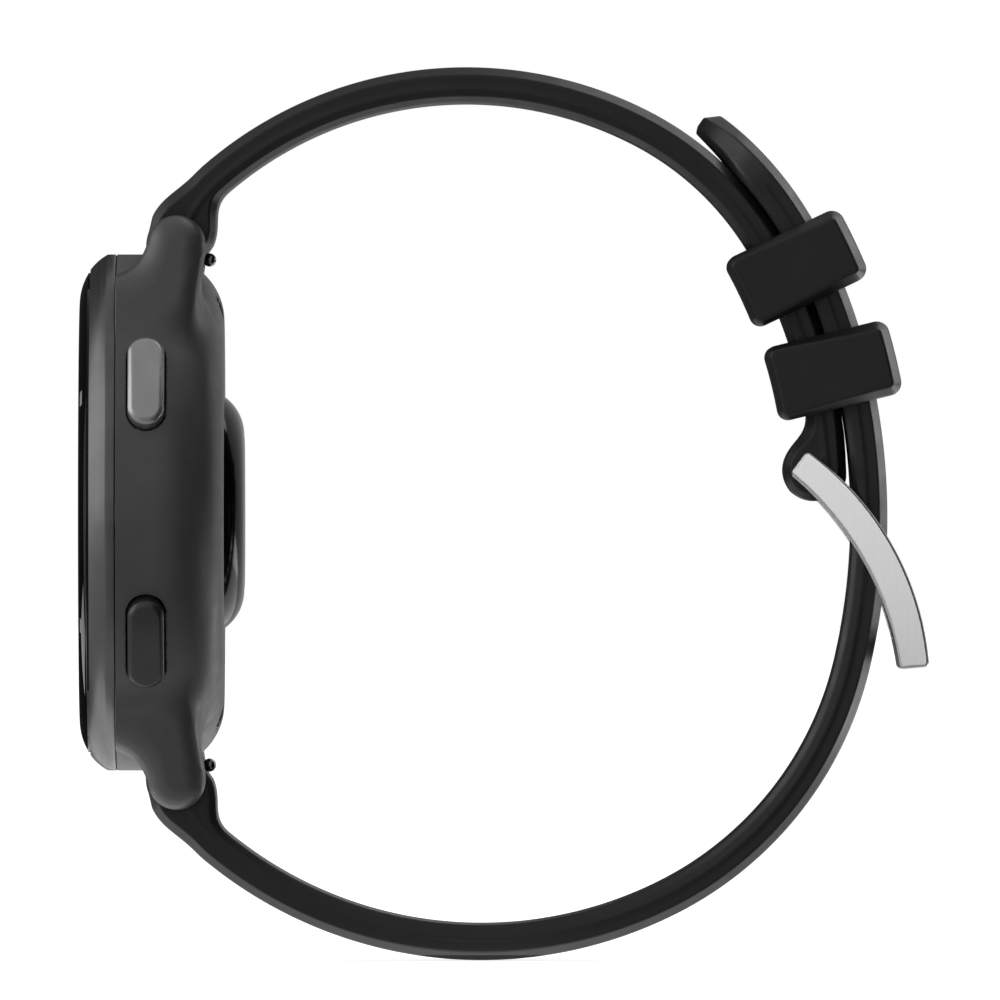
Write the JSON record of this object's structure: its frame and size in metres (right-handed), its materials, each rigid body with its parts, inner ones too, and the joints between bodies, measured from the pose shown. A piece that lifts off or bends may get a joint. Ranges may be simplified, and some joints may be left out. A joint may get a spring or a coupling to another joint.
{
  "type": "gps running watch",
  "caption": "Round GPS running watch with side buttons, a heart-rate sensor back and a buckled quick-release silicone band.",
  "frame": {"origin": "centre of the flat back of the heart-rate sensor window, which rests on the wrist", "axes": "+X from the display through the back to the wrist, -Y to 3 o'clock and the buttons, +Z to 12 o'clock"},
  "size_m": [0.0693, 0.0422, 0.0728],
  "materials": {
    "case_polymer": "fine matte",
    "bezel_metal": "satin, dark anodised",
    "cover_glass": "polished, black from behind",
    "adhesive": "matte",
    "seal_rubber": "smooth",
    "steel": "bright",
    "dark_steel": "polished, dark",
    "display_glass": "black",
    "flex_circuit": "smooth",
    "inner_polymer": "moulded",
    "circuit_board": "solder mask",
    "chip_epoxy": "moulded",
    "tin_plate": "satin",
    "gold_plate": "plated",
    "battery_foil": "satin foil",
    "tungsten": "sintered",
    "sensor_gloss": "polished",
    "led_epoxy": "clear epoxy",
    "button_light": "satin",
    "button_dark": "satin",
    "silicone": "fine matte silicone",
    "buckle_steel": "fine brushed, polished edges"
  },
  "bodies": {
    "watch": {"action_switch": "inner_polymer", "antenna_contacts": "gold_plate", "back_switch": "inner_polymer", "bar_12_fixed_tip": "steel", "bar_12_spring": "steel", "bar_12_tube": "steel", "bar_6_fixed_tip": "steel", "bar_6_spring": "steel", "bar_6_tube": "steel", "battery": "battery_foil", "battery_cradle": "inner_polymer", "battery_pad": "adhesive", "bezel": "bezel_metal", "board_chips": "chip_epoxy", "buckle_pin": "steel", "button_bracket": "steel", "button_flex": "flex_circuit", "case": "case_polymer", "case_gasket": "seal_rubber", "case_screws": "steel", "charge_contacts": "gold_plate", "display_flex": "flex_circuit", "display_module": "display_glass", "lens": "cover_glass", "lens_adhesive": "adhesive", "main_board": "circuit_board", "middle_frame": "inner_polymer", "motor_base": "tin_plate", "motor_cap": "tin_plate", "sensor_baffle": "inner_polymer", "sensor_board": "circuit_board", "sensor_leds": "led_epoxy", "sensor_photodiodes": "chip_epoxy", "sensor_window": "sensor_gloss", "shield_can": "tin_plate", "strap_12": "silicone", "strap_6": "silicone"},
    "action_button": {"action_button": "button_light", "action_button_seal": "seal_rubber", "action_button_clip": "steel", "action_switch_plunger": "inner_polymer"},
    "back_button": {"back_button": "button_dark", "back_button_seal": "seal_rubber", "back_button_clip": "steel", "back_switch_plunger": "inner_polymer"},
    "release_pin_12": {"bar_12_release_pin": "dark_steel"},
    "release_pin_6": {"bar_6_release_pin": "dark_steel"},
    "keeper_lower": {"keeper_lower": "silicone"},
    "keeper_upper": {"keeper_upper": "silicone"},
    "buckle_frame": {"buckle_frame": "buckle_steel"},
    "buckle_tongue": {"buckle_tongue": "buckle_steel"},
    "motor_rotor": {"motor_rotor": "tungsten"}
  },
  "joints": [
    {"name": "action_button_press", "type": "slide", "parent": "watch", "child": "action_button", "axis": [0, 0.866, -0.5], "range_m": [0, 0.0004], "stiffness_N_per_m": 6000, "springref_m": -0.0001},
    {"name": "back_button_press", "type": "slide", "parent": "watch", "child": "back_button", "axis": [0, 0.866, 0.5], "range_m": [0, 0.0004], "stiffness_N_per_m": 6000, "springref_m": -0.0001},
    {"name": "release_pin_12_slide", "type": "slide", "parent": "watch", "child": "release_pin_12", "axis": [0, 1, 0], "range_m": [0, 0.0013], "stiffness_N_per_m": 900, "springref_m": -0.001, "deforming": ["bar_12_spring"]},
    {"name": "release_pin_6_slide", "type": "slide", "parent": "watch", "child": "release_pin_6", "axis": [0, 1, 0], "range_m": [0, 0.0013], "stiffness_N_per_m": 900, "springref_m": -0.001, "deforming": ["bar_6_spring"]},
    {"name": "keeper_lower_slide", "type": "hinge", "parent": "watch", "child": "keeper_lower", "pos_m": [0.00609, 0, 0.00135], "axis": [0, -1, 0], "range_deg": [-1.6, 1.7]},
    {"name": "keeper_upper_slide", "type": "hinge", "parent": "watch", "child": "keeper_upper", "pos_m": [0.00609, 0, 0.00135], "axis": [0, -1, 0], "range_deg": [-1.7, 4.5]},
    {"name": "buckle_frame_hinge", "type": "hinge", "parent": "watch", "child": "buckle_frame", "pos_m": [0.04652, 0, 0.00347], "axis": [0, -1, 0], "range_deg": [-6, 0]},
    {"name": "buckle_tongue_hinge", "type": "hinge", "parent": "watch", "child": "buckle_tongue", "pos_m": [0.04652, 0, 0.00347], "axis": [0, -1, 0], "range_deg": [0, 2]},
    {"name": "motor_rotor_spin", "type": "hinge", "parent": "watch", "child": "motor_rotor", "pos_m": [-0.00655, 0.013, 0], "axis": [1, 0, 0], "continuous": true}
  ]
}
